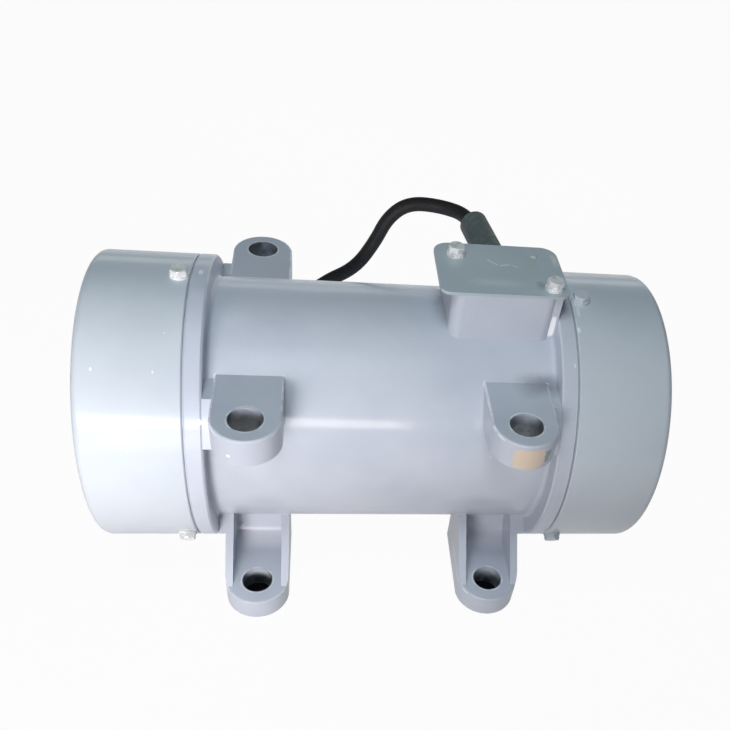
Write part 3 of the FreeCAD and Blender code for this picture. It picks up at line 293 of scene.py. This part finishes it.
def earWear(tree, where, tone):
    axes = addNode(tree, "ShaderNodeSeparateXYZ", None, {0: where}).outputs
    high = axes["Z"]
    across = mathNode(tree, "SUBTRACT", mathNode(tree, "ABSOLUTE", axes["X"]), ears["holeX"])
    along = mathNode(tree, "SUBTRACT", mathNode(tree, "ABSOLUTE", axes["Y"]), ears["holeY"])
    square = mathNode(tree, "MULTIPLY", across, across)
    fromAxis = mathNode(tree, "SQRT", mathNode(tree, "MULTIPLY_ADD", along, along, square))
    past = mathNode(tree, "MAXIMUM", along, 0.0)
    outline = mathNode(tree, "SQRT", mathNode(tree, "MULTIPLY_ADD", past, past, square))
    barrel = mathNode(tree, "COMPARE", high, ears["middle"], ears["between"])
    eitherEar = mathNode(tree, "SUBTRACT", 1.0, barrel)      # not on the barrel between them
    inBore = mathNode(tree, "LESS_THAN", fromAxis, ears["boreR"] + ears["boreSlack"])
    inRim = mathNode(tree, "SUBTRACT", mathNode(tree, "LESS_THAN", fromAxis, ears["rimR"]), inBore)
    bore = mathNode(tree, "MULTIPLY", inBore, eitherEar)
    edges = mathNode(tree, "MULTIPLY", inRim, eitherEar)

    farWall = band(tree, along, ears["wallFrom"] * ears["boreR"], ears["wallTo"] * ears["boreR"])
    low = mathNode(tree, "LESS_THAN", high, ears["middle"])
    lugMouth = band(tree, high, ears["lugTop"] - ears["deep"], ears["lugTop"])
    footMouth = band(tree, high, ears["footTop"] - ears["deep"],
                     ears["footTop"] - ears["mouthShare"] * ears["deep"])
    mouth = mathNode(tree, "MAXIMUM", lugMouth, mathNode(tree, "MULTIPLY", low, footMouth))
    # painted light: the far wall of each bore is lighter towards its mouth
    farWallPaintedLight = mathNode(tree, "MULTIPLY", mathNode(tree, "MULTIPLY", mouth, farWall), ears["farWallPaintedLight"])
    bore = mathNode(tree, "MULTIPLY", bore, mathNode(tree, "SUBTRACT", 1.0, farWallPaintedLight))

    for radius, top in ((ears["lugR"], ears["lugTop"]), (ears["footR"], ears["footTop"])):
        atTop = mathNode(tree, "COMPARE", high, top - ears["edge"] / 2, ears["edge"] * ears["edgeHigh"])
        near = mathNode(tree, "COMPARE", outline, radius - ears["edge"] / 4, ears["edge"] * ears["edgeWide"])
        edges = mathNode(tree, "ADD", edges, mathNode(tree, "MULTIPLY", atTop, near), clamp=True)
    # the rims are lighter in patches, as worn paint and as painted highlight
    wearAndHighlightPatches = band(tree, noise(tree, where, ears["rimLightScale"]), ears["rimLightFrom"], ears["rimLightTo"])
    rimWearAndHighlight = mathNode(tree, "MULTIPLY", mathNode(tree, "MULTIPLY", edges, wearAndHighlightPatches), ears["rimLightShare"])
    tone = mixColor(tree, rimWearAndHighlight, tone, ears["rimColor"])
    # the bores are darkened in patches, as dirt and as painted shade
    boreDarkPatches = band(tree, noise(tree, where, ears["boreDarkScale"]), ears["boreDarkFrom"], ears["boreDarkTo"])
    dirtAndShade = mathNode(tree, "MULTIPLY", mathNode(tree, "MULTIPLY", bore, boreDarkPatches), ears["boreDarkShare"])
    return mixColor(tree, dirtAndShade, tone, ears["boreColor"])


coatRough = 0.12
wobble = {"scale": 40.0, "detail": 3.0, "share": 0.16}      # how the paint's roughness varies


def paintMaterial(name):
    values = paint[name]
    material, tree, shader, where = startMaterial(name, {"Coat Weight": values["coat"],
                                                         "Coat Roughness": coatRough})
    color = useGroup(tree, paintTone, {"Vector": where, "Color": values["color"],
                                       "Mottle": values["mottle"], "Specks": values["specks"]})["Color"]
    for spot in marks[name].values():
        color = useGroup(tree, paintMark, {"Vector": where, "Color": color, **spot})["Color"]
    if name == "housingPaint":
        color = earWear(tree, where, color)
    tree.links.new(color, shader.inputs["Base Color"])
    uneven = noise(tree, where, wobble["scale"], wobble["detail"])
    smoothest = values["rough"] - wobble["share"] / 2
    tree.links.new(mathNode(tree, "MULTIPLY_ADD", uneven, wobble["share"], smoothest),
                   shader.inputs["Roughness"])
    skin = useGroup(tree, castSkin, {"Vector": where, "Grain": values["grain"], "Lumps": values["lumps"]})
    bumpFrom(tree, shader, skin["Height"], values["bump"], values["deep"])
    return material


metal = {
    "zincPlate": {"color": (0.87, 0.90, 0.91, 1), "rough": 0.26, "metallic": 0.40, "scale": 220.0},
    "blackSteel": {"color": (0.05, 0.05, 0.055, 1), "rough": 0.42, "metallic": 0.8, "scale": 160.0},
    "bearingSteel": {"color": (0.62, 0.63, 0.65, 1), "rough": 0.14, "metallic": 1.0, "scale": 90.0},
    "shaftSteel": {"color": (0.50, 0.51, 0.53, 1), "rough": 0.26, "metallic": 1.0, "scale": 120.0},
    "weightIron": {"color": (0.13, 0.13, 0.135, 1), "rough": 0.52, "metallic": 0.85, "scale": 60.0},
    "laminationSteel": {"color": (0.24, 0.25, 0.27, 1), "rough": 0.38, "metallic": 0.9, "scale": 200.0},
    "cageAluminium": {"color": (0.72, 0.73, 0.75, 1), "rough": 0.36, "metallic": 1.0, "scale": 70.0},
    "bearingBrass": {"color": (0.70, 0.50, 0.20, 1), "rough": 0.28, "metallic": 1.0, "scale": 110.0},
    "copperWire": {"color": (0.50, 0.17, 0.05, 1), "rough": 0.30, "metallic": 0.9, "scale": 300.0},
    "bareCopper": {"color": (0.80, 0.40, 0.20, 1), "rough": 0.24, "metallic": 1.0, "scale": 400.0},
    "terminalBrass": {"color": (0.72, 0.58, 0.32, 1), "rough": 0.26, "metallic": 1.0, "scale": 260.0},
}


soft = {
    "cableRubber": {"color": (0.012, 0.012, 0.013, 1), "rough": 0.52, "scale": 500.0, "bump": 0.3},
    "gasketRubber": {"color": (0.03, 0.03, 0.03, 1), "rough": 0.70, "scale": 300.0, "bump": 0.3},
    "glandRubber": {"color": (0.080, 0.098, 0.100, 1), "rough": 0.50, "scale": 260.0, "bump": 0.25},
    "boardPlastic": {"color": (0.10, 0.055, 0.035, 1), "rough": 0.45, "scale": 200.0, "bump": 0.15},
    "coreInsulation": {"color": (0.30, 0.05, 0.04, 1), "rough": 0.42, "scale": 300.0, "bump": 0.1},
}


# how metals and soft goods vary over their surface
metalLook = {"detail": 4.0, "tint": (0.72, 0.72, 0.74, 1), "from": 0.42, "to": 0.68, "smoother": 0.06,
             "rougher": 0.12, "bump": 0.12, "deep": 0.0003}
softLook = {"detail": 3.0, "tint": (1.5, 1.5, 1.5, 1), "from": 0.45, "to": 0.75, "smoother": 0.05,
            "rougher": 0.12, "bump": 0.3, "deep": 0.0002}


def cloudedMaterial(name, values, look):
    material, tree, shader, where = startMaterial(name, {"Metallic": values.get("metallic", 0.0)})
    cloud = noise(tree, where, values["scale"], look["detail"])
    tinted = mixColor(tree, 1.0, values["color"], look["tint"], "MULTIPLY")
    tree.links.new(mixColor(tree, band(tree, cloud, look["from"], look["to"]), values["color"], tinted),
                   shader.inputs["Base Color"])
    rough = addNode(tree, "ShaderNodeMapRange", None,
                    {"Value": cloud, "To Min": values["rough"] - look["smoother"],
                     "To Max": values["rough"] + look["rougher"]})
    tree.links.new(rough.outputs[0], shader.inputs["Roughness"])
    bumpFrom(tree, shader, cloud, values.get("bump", look["bump"]), look["deep"])
    return material


made = {name: paintMaterial(name) for name in paint}
made.update({name: cloudedMaterial(name, metal[name], metalLook) for name in metal})
made.update({name: cloudedMaterial(name, soft[name], softLook) for name in soft})

finishes = {
    "housingPaint": ["motor_housing", "lid_gasket", "*_end_shield"],
    "coverPaint": ["*_weight_cover", "right_cover_screws", "right_cover_washers"],
    "lidPaint": ["terminal_box_lid", "lid_rivet"],
    "zincPlate": ["lid_bolts", "lid_washers", "lid_spring_washers", "terminal_screws",
                  "left_cover_screws", "left_cover_washers", "*_pinch_bolt", "*_tab_washer"],
    "blackSteel": ["*_shield_bolts", "*_cap_screws", "*_shaft_nut"],
    "bearingSteel": ["*_outer_race", "*_inner_race", "*_bearing_rollers"],
    "shaftSteel": ["rotor_shaft", "*_bearing_cap", "*_spacer_sleeve", "*_weight_key"],
    "weightIron": ["*_fixed_weight", "*_adjustable_weight"],
    "laminationSteel": ["stator_core", "rotor_core"],
    "cageAluminium": ["rotor_cage"],
    "bearingBrass": ["*_bearing_cage"],
    "copperWire": ["stator_winding"],
    "bareCopper": ["cable_core_copper"],
    "terminalBrass": ["terminal_studs"],
    "gasketRubber": ["*_cover_seal"],
    "glandRubber": ["gland_sleeve"],
    "cableRubber": ["gland_bush"],
    "boardPlastic": ["terminal_board"],
    "coreInsulation": ["cable_cores", "winding_leads"],
}


def dress(name, material):
    slots = nodes[name].data.materials
    if len(slots) == 0:
        slots.append(material)
    for index in range(len(slots)):
        slots[index] = material


for finishName, listed in finishes.items():
    for entry in listed:
        for name in ([side + entry[1:] for side in sides] if entry.startswith("*") else [entry]):
            dress(name, made[finishName])
print("materials made:", len(made))

# power cable: free stretch, wound spare length and tail in one spline
cable = {
    "radius": 0.00525,
    "way": [(0.07193, 0.07111, 0.2120), (0.06831, 0.09686, 0.2120),
            (0.0485, 0.1145, 0.2098), (0.0235, 0.1145, 0.2108), (0.0080, 0.1125, 0.1985),
            (-0.0009, 0.1105, 0.1780), (-0.0155, 0.1085, 0.1555), (-0.0400, 0.1080, 0.1420),
            (-0.0655, 0.1090, 0.1165), (-0.0745, 0.1110, 0.0889), (-0.0700, 0.1140, 0.0603),
            (-0.0529, 0.1170, 0.0368), (-0.0271, 0.1180, 0.0236)],
    "coilCentre": (0.0395, 0.1705), "coilRadius": 0.0525, "turns": 1.75, "perTurn": 16,
    "stub": 0.036, "tail": 0.070, "tailStops": (0.3, 0.65, 1.0),
    "length": 1.035, "steps": 8,
}


def cablePoints():
    radius = cable["radius"]
    centreX, centreY = cable["coilCentre"]
    mean = cable["coilRadius"]
    top = radius + cable["turns"] * 2 * radius
    points = [Vector(p) for p in cable["way"]]
    points.append(Vector((centreX - cable["stub"], centreY - mean, top)))
    step = 2 * math.pi / cable["perTurn"]
    reach = mean / (0.75 + 0.25 * math.cos(step))      # a control point stands this far out
    count = round(cable["turns"] * cable["perTurn"])
    for i in range(count + 1):
        turned = i * step - math.pi / 2
        height = top - i / cable["perTurn"] * 2 * radius
        points.append(Vector((centreX + reach * math.cos(turned), centreY + reach * math.sin(turned),
                              max(height, radius))))
    for share in cable["tailStops"]:
        points.append(Vector((centreX - mean, centreY - share * cable["tail"], radius)))
    return points


curve = bpy.data.curves.new("powerCableLine", "CURVE")
curve.dimensions = "3D"
curve.bevel_depth = cable["radius"]
curve.bevel_resolution = cable["steps"]
curve.resolution_u = cable["steps"]
curve.use_fill_caps = True
spline = curve.splines.new("NURBS")
way = cablePoints()
spline.points.add(len(way) - 1)
for point, place in zip(spline.points, way):
    point.co = (*place, 1)
spline.order_u = 3
spline.use_endpoint_u = True
powerCable = bpy.data.objects.new("powerCable", curve)
bpy.context.scene.collection.objects.link(powerCable)
curve.materials.append(made["cableRubber"])
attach(powerCable, "frame")
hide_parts("power_cable", "power_cable_coil")
print("power cable laid")

# floor, light and camera
stage = {"floorSize": 8.0, "floorColor": (0.45, 0.45, 0.46, 1), "floorRough": 0.9, "floorSheen": 0.1,
         "seenShare": 0.96, "mirroredShare": 0.5, "horizon": (0.20, 0.21, 0.22, 1),
         "zenith": (0.03, 0.036, 0.042, 1), "skyFrom": 0.05, "skyTo": 0.55,
         "footHole": (ears["holeX"], ears["holeY"], 0.0), "shadeFrom": 0.017, "shadeTo": 0.021,
         "shadeColor": (0.004, 0.005, 0.006, 1), "white": (1, 1, 1, 1)}


def stageMaterial():
    material = bpy.data.materials.new("paleFloor")
    material.use_nodes = True
    tree = material.node_tree
    shader = tree.nodes["Principled BSDF"]
    shader.inputs["Roughness"].default_value = stage["floorRough"]
    shader.inputs["Specular IOR Level"].default_value = stage["floorSheen"]
    path = addNode(tree, "ShaderNodeLightPath").outputs
    seen = mathNode(tree, "ADD", mathNode(tree, "MULTIPLY", path["Is Camera Ray"], stage["seenShare"]),
                    mathNode(tree, "MULTIPLY", path["Is Glossy Ray"], stage["mirroredShare"]), clamp=True)
    # the floor under each foot's bolt hole is painted dark, as painted shade
    where = addNode(tree, "ShaderNodeTexCoord").outputs["Object"]
    folded = addNode(tree, "ShaderNodeVectorMath", {"operation": "ABSOLUTE"}, {0: where}).outputs[0]
    toHole = addNode(tree, "ShaderNodeVectorMath", {"operation": "DISTANCE"},
                     {0: folded, 1: stage["footHole"]}).outputs["Value"]
    lit = band(tree, toHole, stage["shadeFrom"], stage["shadeTo"])
    tree.links.new(mixColor(tree, lit, stage["shadeColor"], stage["floorColor"]),
                   shader.inputs["Base Color"])
    plain = addNode(tree, "ShaderNodeEmission", None, {"Color": stage["white"], "Strength": 1.0})
    mix = addNode(tree, "ShaderNodeMixShader", None, {0: mathNode(tree, "MULTIPLY", seen, lit)})
    tree.links.new(shader.outputs[0], mix.inputs[1])
    tree.links.new(plain.outputs[0], mix.inputs[2])
    tree.links.new(mix.outputs[0], tree.nodes["Material Output"].inputs["Surface"])
    return material


floorMesh = bpy.data.meshes.new("floor")
shape = bmesh.new()
bmesh.ops.create_grid(shape, x_segments=1, y_segments=1, size=stage["floorSize"] / 2)
shape.to_mesh(floorMesh)
shape.free()
floor = bpy.data.objects.new("floor", floorMesh)
bpy.context.scene.collection.objects.link(floor)
floorMesh.materials.append(stageMaterial())

world = bpy.data.worlds.new("studio")
bpy.context.scene.world = world
world.use_nodes = True
sky = world.node_tree
height = addNode(sky, "ShaderNodeSeparateXYZ", None,
                 {0: addNode(sky, "ShaderNodeTexCoord").outputs["Generated"]}).outputs["Z"]
dome = mixColor(sky, band(sky, height, stage["skyFrom"], stage["skyTo"]), stage["horizon"],
                stage["zenith"])
seen = addNode(sky, "ShaderNodeLightPath").outputs["Is Camera Ray"]
sky.links.new(mixColor(sky, seen, dome, stage["white"]), sky.nodes["Background"].inputs["Color"])

lamps = {
    "softboxLow": {"at": (-0.25, -0.68, 0.20), "aim": (-0.24, -0.09, 0.13), "size": (0.20, 0.16),
                   "power": 1.10, "spread": 1.45, "color": (1.0, 0.91, 0.885), "mirrored": False},
    "softboxFront": {"at": (-0.25, -0.86, 0.42), "aim": (-0.04, 0, 0.12), "size": (0.74, 0.12),
                     "power": 2.6, "spread": 3.14, "color": (1.0, 0.95, 0.93), "mirrored": True},
    "softboxOver": {"at": (-0.12, -0.26, 0.97), "aim": (0, 0, 0.12), "size": (0.40, 0.30),
                    "power": 4.4, "spread": 3.14, "color": (0.90, 0.98, 1.0), "mirrored": False},
    "softboxRear": {"at": (0.25, 1.10, 0.22), "aim": (0, 0, 0.13), "size": (0.9, 0.20),
                    "power": 2.2, "spread": 1.3, "color": (0.97, 0.99, 1.0), "mirrored": False},
    "softboxBack": {"at": (0.05, 1.30, 0.42), "aim": (0, 0, 0.12), "size": (1.8, 0.22),
                    "power": 0.8, "spread": 3.14, "color": (1, 1, 1), "mirrored": True},
}
for name, values in lamps.items():
    data = bpy.data.lights.new(name, "AREA")
    data.shape = "RECTANGLE"
    data.size, data.size_y = values["size"]
    data.energy = values["power"]
    data.spread = values["spread"]
    data.color = values["color"]
    lamp = bpy.data.objects.new(name, data)
    lamp.visible_glossy = values["mirrored"]
    lamp.location = values["at"]
    backwards = Vector(values["at"]) - Vector(values["aim"])
    lamp.rotation_euler = backwards.to_track_quat("Z", "Y").to_euler()
    bpy.context.scene.collection.objects.link(lamp)
print("lamps placed:", len(lamps))

view = {"at": (-0.043146, -0.457816, 0.498684), "pitch": 0.788, "yaw": 0.210, "roll": 0.161,
        "lens": 39.234, "sensor": 36, "nearest": 0.01, "shift": (-0.09703, 0.15324)}
cameraData = bpy.data.cameras.new("camera")
cameraData.lens = view["lens"]
cameraData.sensor_width = view["sensor"]
cameraData.shift_x, cameraData.shift_y = view["shift"]
cameraData.clip_start = view["nearest"]
camera = bpy.data.objects.new("camera", cameraData)
camera.matrix_world = (Matrix.Translation(view["at"]) @ Matrix.Rotation(-view["yaw"], 4, "Z")
                       @ Matrix.Rotation(math.pi / 2 - view["pitch"], 4, "X")
                       @ Matrix.Rotation(view["roll"], 4, "Z"))
bpy.context.scene.collection.objects.link(camera)
bpy.context.scene.camera = camera
bpy.context.scene.view_settings.view_transform = "Standard"

print("scene ready")
